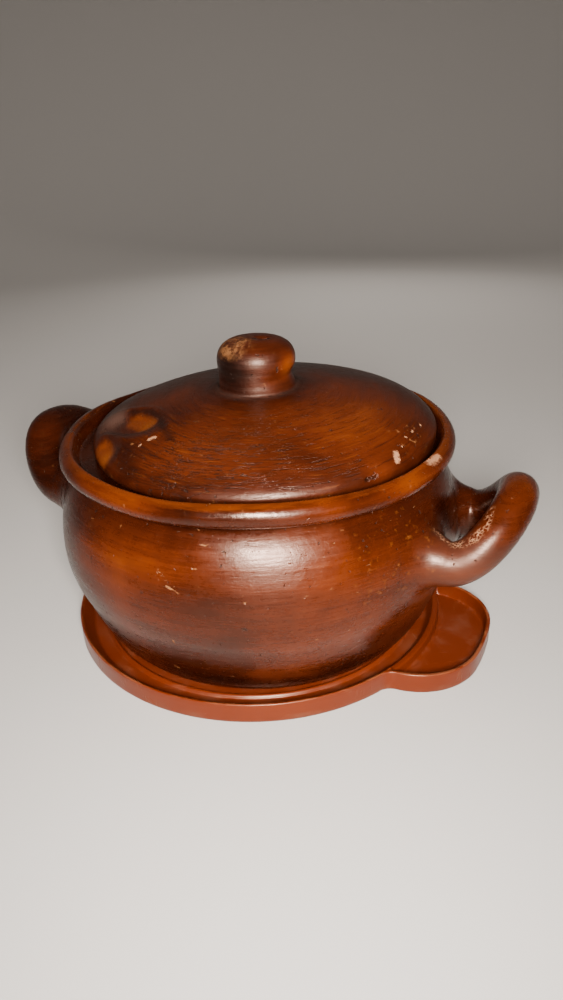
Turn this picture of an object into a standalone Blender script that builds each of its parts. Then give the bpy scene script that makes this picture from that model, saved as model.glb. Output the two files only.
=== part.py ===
"""Clay casserole pot with a domed lid, on a moulded tray with a spoon rest.

Units are metres. The origin lies on the pot's vertical axis, on the plane that the tray
stands on. +Z is up, and the loop handles lie near the X axis.
"""
import math

import bpy
import bmesh
from mathutils import Vector

MM = 0.001
GAP = 0.3                          # clearance kept between touching pieces, in mm
TURN_STEPS = 64                    # facets round the pot and the lid
KNOB_STEPS = 32

# Pot bowl: outer side from the foot up to the lip, as (radius, height) in mm.
FOOT_Z = 3.3
BELLY = [
    (96.0, 3.3), (99.6, 3.8), (102.3, 5.2), (105.0, 7.6), (110.6, 14.0), (116.8, 26.0),
    (123.4, 42.0), (128.2, 54.0), (130.4, 66.0), (130.5, 78.0), (128.6, 92.0),
    (124.4, 105.0), (120.0, 113.0), (115.4, 118.4), (111.8, 121.2),
]
LIP_CENTRE = (118.0, 130.0)
LIP_RADIUS = 7.0
NECK = (111.2, 123.0)
LEDGE_Z = 125.5                    # the shelf that carries the lid
GALLERY = [(116.4, 135.0), (114.9, 130.5), (113.8, 126.9), (112.4, 125.5), (101.0, 125.5)]
BOWL_INSIDE = [
    (99.6, 124.2), (99.4, 120.6), (102.0, 117.4), (108.6, 113.6), (113.6, 108.6),
    (118.2, 100.0), (121.6, 88.0), (122.5, 76.0), (121.6, 62.0), (117.6, 48.0),
    (111.4, 34.0), (104.0, 22.5), (95.0, 15.0), (84.0, 11.6), (60.0, 11.0),
]

# Lid: a shallow dome with its crown leaning a little, as hand-made lids do.
LID_X, LID_Y = 4.4, 2.4
LID_RADIUS = 109.0
LID_EDGE_Z = 133.8
LID_RISE = 28.8
LID_POWER, LID_ROOT = 1.62, 1.855
LID_LEAN_X, LID_LEAN_Y = 0.022, 0.010
LID_UNDER_Z = LEDGE_Z + GAP
LID_FLANGE = [(108.7, 129.6), (107.6, 127.0), (105.6, 125.8), (99.0, 125.8)]
LID_INSIDE = [
    (97.2, 127.6), (96.4, 131.5), (93.0, 136.4), (84.0, 141.9), (70.0, 146.6),
    (52.0, 150.4), (30.0, 153.4),
]

# Knob: a bun with a slight waist, as (radius, height) in mm, from its foot up.
KNOB_X, KNOB_Y = 0.9, 1.0
KNOB = [
    (24.0, 156.0), (24.2, 162.4), (24.0, 165.0), (23.3, 167.8), (23.2, 170.6), (24.0, 174.2),
    (24.8, 178.4), (24.3, 182.8), (22.1, 187.0), (18.0, 190.2), (11.5, 192.1), (5.0, 192.6),
]

# Loop handles. Each centreline leaves the belly, dips, and sweeps up to the grip.
HANDLE_HALF_WIDTH = 41.5
HANDLE_REACH = 45.6
HANDLE_SLOPE = 0.7276
HANDLE_DIP = 35.6
HANDLE_FULLNESS = 0.8388
HANDLES = {
    "right_handle": dict(azimuth=-0.4228, root_r=131.6, root_z=79.0, twist=-0.0555, tube=12.0),
    "left_handle": dict(azimuth=2.7012, root_r=125.2, root_z=87.4, twist=0.0928, tube=12.9),
}
HANDLE_POINTS = 25
ROOT_RUN_IN = 20.0                 # how far each handle root runs on into the wall
ROOT_FLARE = 0.16                  # extra thickness where a root meets the belly

# Tray: a round dish and a spoon-rest lobe inside one moulded outline.
TRAY_X = -3.2
TRAY_RADIUS = 125.4
TRAY_HEIGHT = 12.9
TRAY_FLOOR = 3.0
DISH = [(115.6, 3.0), (118.0, 4.6), (123.4, 13.5)]
BEAD = [(108.4, 3.0), (107.8, 4.4), (106.6, 5.0), (105.6, 4.4), (105.0, 3.0)]
LOBE_AXIS = math.radians(-27.5)
LOBE_REACH = 159.5
LOBE_CORNER_AT = (116.8, 12.7)     # corner circle centre, along and across the lobe axis
LOBE_CORNER_R = 42.0
LOBE_FILLET = 10.0
LOBE_WALL = 2.3
DIVIDER_OUTER = 124.6
DIVIDER_Z = 9.0

SLOTS = {
    "pot_bowl": "pot_clay",
    "right_handle": "right_handle_clay",
    "left_handle": "left_handle_clay",
    "lid_dome": "lid_clay",
    "lid_knob": "knob_clay",
    "tray": "tray_plastic",
}
COLOURS = {
    "pot_bowl": (0.150, 0.045, 0.018),
    "right_handle": (0.135, 0.042, 0.018),
    "left_handle": (0.120, 0.036, 0.016),
    "lid_dome": (0.190, 0.058, 0.018),
    "lid_knob": (0.165, 0.060, 0.026),
    "tray": (0.225, 0.040, 0.012),
}
ROUGHNESS = {"tray": 0.30}


def clear_scene():
    """Start from an empty scene."""
    for old in list(bpy.data.objects):
        bpy.data.objects.remove(old, do_unlink=True)


def make_collection(name):
    """Add a named collection to the scene."""
    group = bpy.data.collections.new(name)
    bpy.context.scene.collection.children.link(group)
    return group


def make_material(name):
    """One plain Principled material for a node."""
    material = bpy.data.materials.new(SLOTS[name])
    material.use_nodes = True
    shader = material.node_tree.nodes["Principled BSDF"]
    shader.inputs["Base Color"].default_value = (*COLOURS[name], 1.0)
    shader.inputs["Roughness"].default_value = ROUGHNESS.get(name, 0.42)
    return material


def add_object(name, mesh, group, smooth=True):
    """Link a mesh object into a collection."""
    item = bpy.data.objects.new(name, mesh)
    group.objects.link(item)
    if smooth:
        for face in mesh.polygons:
            face.use_smooth = True
    return item


def as_cutter(item):
    """Keep a cutting solid out of sight."""
    item.hide_render = True
    item.display_type = "WIRE"
    return item


def turned(name, profile, group, steps, centre=(0.0, 0.0)):
    """Turn an open (radius, height) profile in mm, whose ends lie on the axis."""
    mesh = bpy.data.meshes.new(name)
    corners = [(radius * MM, 0.0, height * MM) for radius, height in profile]
    edges = [(i, i + 1) for i in range(len(corners) - 1)]
    mesh.from_pydata(corners, edges, [])
    item = add_object(name, mesh, group, smooth=False)
    screw = item.modifiers.new("turn", "SCREW")
    screw.axis = "Z"
    screw.angle = math.tau
    screw.steps = steps
    screw.render_steps = steps
    screw.use_merge_vertices = True
    screw.merge_threshold = 0.0001
    screw.use_smooth_shade = True
    item.location = (centre[0] * MM, centre[1] * MM, 0.0)
    return bake(item, group)


def bake(item, group):
    """Replace an object by the mesh that its modifiers or curve make, in world space."""
    graph = bpy.context.evaluated_depsgraph_get()
    graph.update()
    made = bpy.data.meshes.new_from_object(item.evaluated_get(graph))
    made.transform(item.matrix_world)
    work = bmesh.new()
    work.from_mesh(made)
    bmesh.ops.remove_doubles(work, verts=work.verts, dist=0.00001)
    bmesh.ops.recalc_face_normals(work, faces=work.faces)
    work.to_mesh(made)
    work.free()
    name = item.name
    bpy.data.objects.remove(item, do_unlink=True)
    made.name = name
    return add_object(name, made, group)


def cut(item, cutter, operation="DIFFERENCE"):
    """Add an exact Boolean."""
    step = item.modifiers.new(cutter.name, "BOOLEAN")
    step.operation = operation
    step.solver = "EXACT"
    step.object = cutter


def lip_arc():
    """Points round the rolled lip, from under it to its crest."""
    points = []
    for degrees in (-88, -55, -28, 0, 28, 55, 90):
        angle = math.radians(degrees)
        points.append((LIP_CENTRE[0] + LIP_RADIUS * math.cos(angle),
                       LIP_CENTRE[1] + LIP_RADIUS * math.sin(angle)))
    return points


def bowl_section():
    """The bowl's section as one run from the axis inside, over the lip, to the axis below."""
    outside = [(0.0, FOOT_Z)] + BELLY + [NECK] + lip_arc()
    inside = GALLERY + BOWL_INSIDE + [(0.0, 11.0)]
    return list(reversed(inside)) + list(reversed(outside))


def belly_cutter_section(grow):
    """The bowl's outer side, grown outwards, closed over the top."""
    grown = []
    side = BELLY + [NECK] + lip_arc()
    for index, (radius, height) in enumerate(side):
        before = side[max(index - 1, 0)]
        after = side[min(index + 1, len(side) - 1)]
        along = Vector((after[0] - before[0], after[1] - before[1])).normalized()
        grown.append((radius + along.y * grow, height - along.x * grow))
    low = [(0.0, FOOT_Z - grow)]
    high = [(0.0, grown[-1][1])]
    return high + list(reversed(grown)) + low


def dome_height(radius):
    """Height of the lid's outer skin at a radius, in mm."""
    share = min(radius / LID_RADIUS, 1.0)
    return LID_EDGE_Z + LID_RISE * (1.0 - share ** LID_POWER) ** (1.0 / LID_ROOT)


def dome_points():
    """The lid's outer skin from its crown to its edge."""
    radii = [0.0, 12.0, 24.0, 36.0, 48.0, 60.0, 71.0, 81.0, 90.0, 97.0, 102.0, 105.5, 107.6, 108.7]
    return [(radius, dome_height(radius)) for radius in radii] + [(LID_RADIUS, LID_EDGE_Z)]


def lean(item):
    """Lean the upper part of a lid piece, keeping its resting ring flat."""
    for corner in item.data.vertices:
        height = corner.co.z / MM
        share = min(max((height - LID_UNDER_Z) / (LID_EDGE_Z - LID_UNDER_Z), 0.0), 1.0)
        side = LID_LEAN_X * (corner.co.x - LID_X * MM) + LID_LEAN_Y * (corner.co.y - LID_Y * MM)
        corner.co.z += share * side


def handle_centreline(spec):
    """Points along a handle's centreline, in mm, with a thickness factor at each."""
    outward = Vector((math.cos(spec["azimuth"]), math.sin(spec["azimuth"]), 0.0))
    sideways = Vector((-math.sin(spec["azimuth"]), math.cos(spec["azimuth"]), 0.0))
    upward = Vector((0.0, 0.0, 1.0))
    across = sideways * math.cos(spec["twist"]) + upward * math.sin(spec["twist"])
    along = outward * math.cos(HANDLE_SLOPE) + upward * math.sin(HANDLE_SLOPE)
    root = outward * spec["root_r"] + upward * spec["root_z"]
    points = []
    for index in range(HANDLE_POINTS):
        turn = math.pi * index / (HANDLE_POINTS - 1)
        wide = -math.copysign(abs(math.cos(turn)) ** HANDLE_FULLNESS, math.cos(turn))
        out = max(math.sin(turn), 0.0) ** HANDLE_FULLNESS
        place = root + across * (HANDLE_HALF_WIDTH * wide) + along * (HANDLE_REACH * out)
        place = place + upward * (HANDLE_DIP * (out * out - out))
        points.append((place, 1.0 + ROOT_FLARE * (1.0 - out) ** 3))
    first = points[0][0] - (points[1][0] - points[0][0]).normalized() * ROOT_RUN_IN
    last = points[-1][0] - (points[-2][0] - points[-1][0]).normalized() * ROOT_RUN_IN
    return [(first, 1.0 + ROOT_FLARE)] + points + [(last, 1.0 + ROOT_FLARE)]


def make_handle(name, spec, group, cutter):
    """A round roll of clay bent along its centreline, trimmed to the belly."""
    curve = bpy.data.curves.new(name, "CURVE")
    curve.dimensions = "3D"
    curve.bevel_depth = spec["tube"] * MM
    curve.bevel_resolution = 4
    curve.use_fill_caps = True
    line = curve.splines.new("POLY")
    points = handle_centreline(spec)
    line.points.add(len(points) - 1)
    for slot, (place, thickness) in zip(line.points, points):
        slot.co = (*(place * MM), 1.0)
        slot.radius = thickness
    item = bpy.data.objects.new(name, curve)
    group.objects.link(item)
    bpy.context.view_layer.update()
    made = bake(item, group)
    cut(made, cutter)
    return made


def arc(centre, radius, start, end, steps):
    """Points on an arc, in mm."""
    points = []
    for index in range(steps + 1):
        angle = start + (end - start) * index / steps
        points.append((centre[0] + radius * math.cos(angle), centre[1] + radius * math.sin(angle)))
    return points


def angle_of(centre, point):
    """Direction from a centre to a point."""
    return math.atan2(point[1] - centre[1], point[0] - centre[0])


def lobe_side(inset, main_radius):
    """Half the lobe's outline, from the main circle to the lobe axis, in lobe coordinates."""
    reach = LOBE_REACH - inset
    corner = LOBE_CORNER_R - inset
    fillet = LOBE_FILLET + inset
    along, across = LOBE_CORNER_AT
    far = main_radius + fillet
    near = corner + fillet
    span = math.hypot(along, across)
    turn = math.acos((far * far + span * span - near * near) / (2.0 * far * span))
    heading = math.atan2(across, along) + turn
    joint = (far * math.cos(heading), far * math.sin(heading))
    back = angle_of(joint, (0.0, 0.0))
    front = angle_of(joint, (along, across))
    if front < back:
        front += math.tau
    points = arc(joint, fillet, back, front, 6)
    end = math.atan2(across, along)
    begin = angle_of((along, across), joint)
    points += arc((along, across), corner, begin, end, 16)[1:]
    points += arc((0.0, 0.0), reach, end, 0.0, 3)[1:]
    return heading, points


def to_tray(points):
    """Turn lobe coordinates to the tray's place."""
    placed = []
    for along, across in points:
        x = along * math.cos(LOBE_AXIS) - across * math.sin(LOBE_AXIS)
        y = along * math.sin(LOBE_AXIS) + across * math.cos(LOBE_AXIS)
        placed.append((x + TRAY_X, y))
    return placed


def tray_outline():
    """The tray's whole outer outline."""
    heading, side = lobe_side(0.0, TRAY_RADIUS)
    other = [(along, -across) for along, across in reversed(side)]
    ring = arc((0.0, 0.0), TRAY_RADIUS, -heading, heading - math.tau, 80)[1:-1]
    return to_tray(side + other[1:] + ring)


def pocket_outline():
    """The spoon rest's hollow, between the lobe wall and the dividing wall."""
    heading, side = lobe_side(LOBE_WALL, TRAY_RADIUS - LOBE_WALL)
    side = [point for point in side if math.hypot(*point) > DIVIDER_OUTER]
    edge = math.atan2(side[0][1], side[0][0])
    other = [(along, -across) for along, across in reversed(side)]
    inner = arc((0.0, 0.0), DIVIDER_OUTER, -edge, edge, 20)
    return to_tray(side + other[1:] + inner)


def divider_outline():
    """The strip of wall that is lower, between the dish and the spoon rest."""
    edge = math.atan2(LOBE_CORNER_AT[1], LOBE_CORNER_AT[0]) + math.radians(14.5)
    outer = arc((0.0, 0.0), DIVIDER_OUTER + 4.0, -edge, edge, 16)
    inner = arc((0.0, 0.0), 112.0, edge, -edge, 16)
    return to_tray(outer + inner)


def slab(name, outline, low, high, group):
    """A flat solid with a given outline, between two heights in mm."""
    mesh = bpy.data.meshes.new(name)
    work = bmesh.new()
    corners = [work.verts.new((x * MM, y * MM, low * MM)) for x, y in outline]
    face = work.faces.new(corners)
    raised = bmesh.ops.extrude_face_region(work, geom=[face])
    moved = [part for part in raised["geom"] if isinstance(part, bmesh.types.BMVert)]
    bmesh.ops.translate(work, verts=moved, vec=(0.0, 0.0, (high - low) * MM))
    bmesh.ops.recalc_face_normals(work, faces=work.faces)
    work.to_mesh(mesh)
    work.free()
    return add_object(name, mesh, group, smooth=False)


def make_tray(group, tools):
    """The moulded tray, with its dish, bead ring, divider and spoon rest."""
    body = slab("tray", tray_outline(), 0.0, TRAY_HEIGHT, group)
    section = [(0.0, 20.0), (127.6, 20.0)] + list(reversed(DISH)) + BEAD + [(0.0, TRAY_FLOOR)]
    dish = as_cutter(turned("dish_cutter", section, tools, 96, (TRAY_X, 0.0)))
    pocket = as_cutter(slab("pocket_cutter", pocket_outline(), TRAY_FLOOR, 20.0, tools))
    strip = as_cutter(slab("divider_cutter", divider_outline(), DIVIDER_Z, 20.0, tools))
    for cutter in (dish, pocket, strip):
        cut(body, cutter)
    return body


def main():
    clear_scene()
    group = make_collection("clay_casserole")
    tools = make_collection("cutters")

    bowl = turned("pot_bowl", bowl_section(), group, TURN_STEPS)
    wall = as_cutter(turned("wall_cutter", belly_cutter_section(GAP), tools, TURN_STEPS))
    parts = [bowl]
    for name, spec in HANDLES.items():
        parts.append(make_handle(name, spec, group, wall))

    lid_section = dome_points() + LID_FLANGE + LID_INSIDE + [(0.0, 154.6)]
    lid = turned("lid_dome", lid_section, group, TURN_STEPS, (LID_X, LID_Y))
    lean(lid)
    parts.append(lid)

    skin = [(radius, height + GAP) for radius, height in dome_points()]
    under = as_cutter(turned("dome_cutter", skin + [(LID_RADIUS, 130.0), (0.0, 130.0)],
                             tools, TURN_STEPS, (LID_X, LID_Y)))
    lean(under)
    knob_section = [(0.0, 192.7)] + list(reversed(KNOB)) + [(0.0, 156.0)]
    knob = turned("lid_knob", knob_section, group, KNOB_STEPS, (KNOB_X, KNOB_Y))
    cut(knob, under)
    parts.append(knob)

    parts.append(make_tray(group, tools))
    for part in parts:
        part.data.materials.clear()
        part.data.materials.append(make_material(part.name))


main()
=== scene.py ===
"""Looks of the clay casserole pot, its lid and its tray: fine meshes and procedural materials."""

import math
from functools import reduce

import bpy
import numpy as np
from mathutils import Matrix, Vector


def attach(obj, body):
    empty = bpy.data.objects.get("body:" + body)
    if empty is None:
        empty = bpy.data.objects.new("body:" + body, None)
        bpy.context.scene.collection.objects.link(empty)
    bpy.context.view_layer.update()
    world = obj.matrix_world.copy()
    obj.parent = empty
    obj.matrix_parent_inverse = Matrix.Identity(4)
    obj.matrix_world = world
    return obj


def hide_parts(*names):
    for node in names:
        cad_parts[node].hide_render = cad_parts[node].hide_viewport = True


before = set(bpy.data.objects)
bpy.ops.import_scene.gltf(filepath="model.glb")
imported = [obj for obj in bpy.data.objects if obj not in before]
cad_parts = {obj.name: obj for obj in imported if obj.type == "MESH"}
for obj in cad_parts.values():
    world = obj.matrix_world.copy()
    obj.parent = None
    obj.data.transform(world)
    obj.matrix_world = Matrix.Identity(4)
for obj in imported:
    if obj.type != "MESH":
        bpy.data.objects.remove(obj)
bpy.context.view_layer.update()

MM = 0.001

# ---- sizes, in mm: those of the CAD, with the knob drawn in a little
FOOT_Z = 3.3
BELLY = [
    (96.0, 3.3), (99.6, 3.8), (102.3, 5.2), (105.0, 7.6), (110.6, 14.0), (116.8, 26.0),
    (123.4, 42.0), (128.2, 54.0), (130.4, 66.0), (130.5, 78.0), (128.6, 92.0),
    (124.4, 105.0), (120.0, 113.0), (115.4, 118.4), (111.8, 121.2),
]
LIP_CENTRE = (118.0, 130.0)
LIP_RADIUS = 7.0
NECK = (111.2, 123.0)
GALLERY = [(116.4, 135.0), (114.9, 130.5), (113.8, 126.9), (112.4, 125.5)]
LEDGE = [(112.4, 125.5), (101.0, 125.5)]
BOWL_INSIDE = [
    (101.0, 125.5), (99.6, 124.2), (99.4, 120.6), (102.0, 117.4), (108.6, 113.6), (113.6, 108.6),
    (118.2, 100.0), (121.6, 88.0), (122.5, 76.0), (121.6, 62.0), (117.6, 48.0),
    (111.4, 34.0), (104.0, 22.5), (95.0, 15.0), (84.0, 11.6), (60.0, 11.0), (0.0, 11.0),
]
LID_X, LID_Y = 4.4, 2.4
LID_RADIUS = 109.0
LID_EDGE_Z = 133.8
LID_RISE = 28.8
LID_POWER, LID_ROOT = 1.62, 1.855
LID_LEAN_X, LID_LEAN_Y = 0.022, 0.010
LID_UNDER_Z = 125.8
LID_FLANGE = [(109.0, 133.8), (108.7, 129.6), (107.6, 127.0), (105.6, 125.8)]
LID_INSIDE = [
    (99.0, 125.8), (97.2, 127.6), (96.4, 131.5), (93.0, 136.4), (84.0, 141.9), (70.0, 146.6),
    (52.0, 150.4), (30.0, 153.4), (0.0, 154.6),
]
KNOB_X, KNOB_Y = 0.9, 1.0
KNOB = [
    (23.7, 156.0), (23.9, 161.6), (23.9, 164.6), (23.2, 167.6), (23.0, 170.6), (23.8, 174.2),
    (24.5, 178.4), (24.0, 182.6), (21.9, 186.6), (17.8, 189.8), (11.4, 191.7), (5.0, 192.3),
    (0.0, 192.4),
]
HANDLE_HALF_WIDTH = 41.5
HANDLE_REACH = 45.6
HANDLE_SLOPE = 0.7276
HANDLE_DIP = 35.6
HANDLE_FULLNESS = 0.8388
HANDLES = {
    "right_handle": dict(azimuth=-0.4228, root_r=131.6, root_z=79.0, twist=-0.0555, tube=12.0),
    "left_handle": dict(azimuth=2.7012, root_r=125.2, root_z=87.4, twist=0.0928, tube=12.9),
}
ROOT_FLARE = 0.16
ROOT_BLEND = 13.0                  # width over which a handle flows into the belly
KNOB_BLEND = 2.6                   # the same for the knob and the lid
# distances over which the shading turns from a piece's own to the blended surface's
ROOT_FADE = (ROOT_BLEND, ROOT_BLEND - 3.0)
KNOB_FADE = (KNOB_BLEND, KNOB_BLEND - 2.0)
FOLLOW_ALL = (1e6, 1e5)
SETTLE_STEPS, TUCK_DEPTH = 14, 6.0
LIP_DIP, LIP_DIP_AT, LIP_DIP_SPAN = 2.4, math.radians(128.0), math.radians(34.0)
BELLY_INWARD = 0.7                 # keeps the uneven belly inside the CAD's box

TRAY_X = -3.2
TRAY_RADIUS = 125.4
TRAY_HEIGHT = 12.9
TRAY_FLOOR = 3.0
LOBE_AXIS = math.radians(-27.5)
LOBE_REACH = 159.5
LOBE_CORNER_AT = (116.8, 12.7)
LOBE_CORNER_R = 42.0
LOBE_FILLET = 10.0
LOBE_WALL = 2.3
DIVIDER_OUTER = 124.6
DIVIDER_Z = 9.0


# ---- camera and stage
CAMERA_AT = Vector((0.0, -0.4697, 0.3130))
CAMERA_YAW, CAMERA_PITCH, CAMERA_ROLL = 0.0294, 0.4599, -0.0318
CAMERA_LENS = 27.96
# the round stage, in m: flat part, bend up into the wall, gap under the tray
STAGE_FLAT, STAGE_BEND, STAGE_GAP = 1.35, 0.60, 0.0004
STAGE_TURNS = 96


def link(name, data):
    """A new object in the scene."""
    item = bpy.data.objects.new(name, data)
    bpy.context.scene.collection.objects.link(item)
    return item


def make_camera():
    """A camera at the viewing angle: yaw about Z, pitch down, then roll."""
    ahead = Vector((math.sin(CAMERA_YAW) * math.cos(CAMERA_PITCH),
                    math.cos(CAMERA_YAW) * math.cos(CAMERA_PITCH),
                    -math.sin(CAMERA_PITCH)))
    right = Vector((math.cos(CAMERA_YAW), -math.sin(CAMERA_YAW), 0.0))
    up = right.cross(ahead)
    level, rolled = right, up
    right = level * math.cos(CAMERA_ROLL) + rolled * math.sin(CAMERA_ROLL)
    up = rolled * math.cos(CAMERA_ROLL) - level * math.sin(CAMERA_ROLL)
    data = bpy.data.cameras.new("camera")
    data.sensor_width = 36.0
    data.lens = CAMERA_LENS
    data.clip_start = 0.01
    camera = link("camera", data)
    turn = Matrix((right, up, -ahead)).transposed().to_4x4()
    camera.matrix_world = Matrix.Translation(CAMERA_AT) @ turn
    bpy.context.scene.camera = camera


def area_light(name, place, target, size, power, colour=(1.0, 1.0, 1.0)):
    """A soft square lamp that points at a target."""
    data = bpy.data.lights.new(name, "AREA")
    data.shape = "SQUARE"
    data.size = size
    data.energy = power
    data.color = colour
    lamp = link(name, data)
    lamp.location = place
    lamp.rotation_euler = (Vector(target) - Vector(place)).to_track_quat("-Z", "Y").to_euler()
    return lamp


def make_stage():
    """A round pale floor that curves up into a wall on every side, with soft lamps."""
    rows = [(0.5, 0.0), (1.0, 0.0), (STAGE_FLAT, 0.0)]
    for step in range(1, 13):
        angle = math.pi / 2 * step / 12
        rows.append((STAGE_FLAT + STAGE_BEND * math.sin(angle),
                     STAGE_BEND * (1.0 - math.cos(angle))))
    rows.append((STAGE_FLAT + STAGE_BEND, 1.6))
    corners = [(0.0, 0.0, -STAGE_GAP)]
    faces = [(0, 1 + index, 1 + (index + 1) % STAGE_TURNS) for index in range(STAGE_TURNS)]
    for radius, height in rows:
        for turn in np.linspace(0.0, math.tau, STAGE_TURNS, endpoint=False):
            corners.append((radius * math.cos(turn), radius * math.sin(turn), height - STAGE_GAP))
    faces += ring_faces(len(rows), STAGE_TURNS, 1)[:, ::-1].tolist()
    mesh = bpy.data.meshes.new("backdrop")
    mesh.from_pydata(corners, [], faces)
    for face in mesh.polygons:
        face.use_smooth = True
    floor = link("backdrop", mesh)
    paper = bpy.data.materials.new("backdrop_paper")
    paper.use_nodes = True
    shader = paper.node_tree.nodes["Principled BSDF"]
    shader.inputs["Base Color"].default_value = (0.40, 0.38, 0.36, 1.0)
    shader.inputs["Roughness"].default_value = 0.85
    mesh.materials.append(paper)
    key = area_light("key", (0.015, -0.545, 0.325), (0.0, 0.0, 0.08), 0.12, 7.0, (1.0, 0.94, 0.88))
    key.data.spread = math.radians(110.0)
    area_light("front", (0.05, -1.25, 0.12), (0.0, 0.0, 0.10), 0.32, 4.2, (1.0, 0.90, 0.82))
    # these only fill the shadows, without a mirror image of their own in the gloss
    for name, spot, size, power in (("over", (-0.15, 0.35, 1.35), 1.2, 6.5),
                                    ("back", (0.25, 1.15, 0.62), 0.7, 5.0),
                                    ("left_fill", (-1.2, -0.4, 0.6), 0.7, 2.0),
                                    ("right_fill", (1.2, -0.3, 0.6), 0.7, 2.0)):
        fill = area_light(name, spot, (0.0, 0.0, 0.08), size, power, (1.0, 0.94, 0.88))
        fill.visible_glossy = False
    world = bpy.data.worlds.new("studio")
    world.use_nodes = True
    world.node_tree.nodes["Background"].inputs["Color"].default_value = (1.0, 0.95, 0.9, 1.0)
    world.node_tree.nodes["Background"].inputs["Strength"].default_value = 0.10
    bpy.context.scene.world = world


# ---- mesh helpers
def smooth_path(points, spacing):
    """A curve through the points, sampled about every spacing mm."""
    p = np.array(points, float)
    ext = np.vstack([2 * p[0] - p[1], p, 2 * p[-1] - p[-2]])
    out = []
    for i in range(1, len(ext) - 2):
        p0, p1, p2, p3 = ext[i - 1], ext[i], ext[i + 1], ext[i + 2]
        d1 = math.sqrt(np.linalg.norm(p1 - p0)) + 1e-9
        d2 = math.sqrt(np.linalg.norm(p2 - p1)) + 1e-9
        d3 = math.sqrt(np.linalg.norm(p3 - p2)) + 1e-9
        m1 = d2 * ((p1 - p0) / d1 - (p2 - p0) / (d1 + d2) + (p2 - p1) / d2)
        m2 = d2 * ((p2 - p1) / d2 - (p3 - p1) / (d2 + d3) + (p3 - p2) / d3)
        count = max(1, int(round(np.linalg.norm(p2 - p1) / spacing)))
        for k in range(count):
            t = k / count
            a = 2 * t ** 3 - 3 * t ** 2 + 1
            b = t ** 3 - 2 * t ** 2 + t
            c = -2 * t ** 3 + 3 * t ** 2
            d = t ** 3 - t ** 2
            out.append(a * p1 + b * m1 + c * p2 + d * m2)
    out.append(p[-1])
    return np.array(out)


def joined(*paths):
    """Paths end to end, without repeating the shared points."""
    parts = [paths[0]]
    for path in paths[1:]:
        parts.append(path[1:])
    return np.vstack(parts)


def straight(start, end, count):
    """Evenly spaced points from start to end."""
    return np.linspace(np.array(start, float), np.array(end, float), count)


def lip_arc(count):
    """Points round the rolled lip, from under it to its crest."""
    angle = np.radians(np.linspace(-88, 90, count))
    return np.c_[LIP_CENTRE[0] + LIP_RADIUS * np.cos(angle),
                 LIP_CENTRE[1] + LIP_RADIUS * np.sin(angle)]


def ring_faces(rings, turns, first):
    """Quads between rings of vertices, as an array of corner indices."""
    i = np.arange(rings - 1)[:, None] * turns
    j = np.arange(turns)[None, :]
    k = (j + 1) % turns
    return np.stack([i + j, i + k, i + turns + k, i + turns + j], -1).reshape(-1, 4) + first


def solid_of_rings(name, grid, cap_start, cap_end):
    """A mesh from rings (rings, turns, 3) in mm, closed at its ends by points where given."""
    rings, turns, _ = grid.shape
    points = [grid.reshape(-1, 3)]
    faces = ring_faces(rings, turns, 0).tolist()
    count = rings * turns
    if cap_start is not None:
        points.append(np.array([cap_start]))
        faces += [(count, (j + 1) % turns, j) for j in range(turns)]
        count += 1
    if cap_end is not None:
        points.append(np.array([cap_end]))
        last = (rings - 1) * turns
        faces += [(count, last + j, last + (j + 1) % turns) for j in range(turns)]
        count += 1
    mesh = bpy.data.meshes.new(name)
    mesh.from_pydata((np.vstack(points) * MM).tolist(), [], faces)
    mesh.update()
    mesh.polygons.foreach_set("use_smooth", [True] * len(mesh.polygons))
    return mesh


def place(name, mesh, body, nodes, slot_name):
    """Link a finished mesh as a piece that stands for a CAD node."""
    item = link(name, mesh)
    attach(item, body)
    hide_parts(*nodes)
    return item


def flip_if_inward(mesh):
    """Make a closed mesh face outwards."""
    co = vertex_points(mesh)
    mesh.calc_loop_triangles()
    tri = np.empty(len(mesh.loop_triangles) * 3, int)
    mesh.loop_triangles.foreach_get("vertices", tri)
    a, b, c = (co[tri.reshape(-1, 3)[:, n]] for n in range(3))
    if np.einsum("ij,ij->i", a, np.cross(b, c)).sum() < 0:
        mesh.flip_normals()
    mesh.update()


def vertex_points(mesh):
    """Vertex positions in mm, as an array."""
    out = np.empty(len(mesh.vertices) * 3)
    mesh.vertices.foreach_get("co", out)
    return out.reshape(-1, 3) / MM


def vertex_normals(mesh):
    """Vertex normals as an array."""
    out = np.empty(len(mesh.vertices) * 3)
    mesh.vertex_normals.foreach_get("vector", out)
    return out.reshape(-1, 3)


# ---- shape fields
def smoothstep(low, high, value):
    """0 below low, 1 above high, smooth between."""
    t = np.clip((value - low) / (high - low), 0.0, 1.0)
    return t * t * (3.0 - 2.0 * t)


def smooth_min(a, b, width):
    """The lesser of two distances, rounded where they are within width of each other."""
    near = np.clip(width - np.abs(a - b), 0.0, None) / width
    return np.minimum(a, b) - near * near * width * 0.25


def distance_to_path(points, path):
    """Unsigned distance from points to a polyline, with the place along it."""
    best = np.full(len(points), 1e9)
    where = np.zeros(len(points))
    for index in range(len(path) - 1):
        a, b = path[index], path[index + 1]
        ab = b - a
        length = float(ab @ ab) + 1e-12
        t = np.clip(((points - a) @ ab) / length, 0.0, 1.0)
        gap = np.linalg.norm(points - a - t[:, None] * ab, axis=1)
        closer = gap < best
        best[closer] = gap[closer]
        where[closer] = index + t[closer]
    return best, where


def section_distance(radius, height, path):
    """Signed distance from (radius, height) to a turned outline that runs upwards; + is outside."""
    flat = np.c_[radius, height]
    gap, where = distance_to_path(flat, path)
    index = np.minimum(where.astype(int), len(path) - 2)
    along = path[index + 1] - path[index]
    to_point = flat - path[index]
    side = to_point[:, 0] * along[:, 1] - to_point[:, 1] * along[:, 0]
    return np.where(side > 0, gap, -gap)


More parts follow.
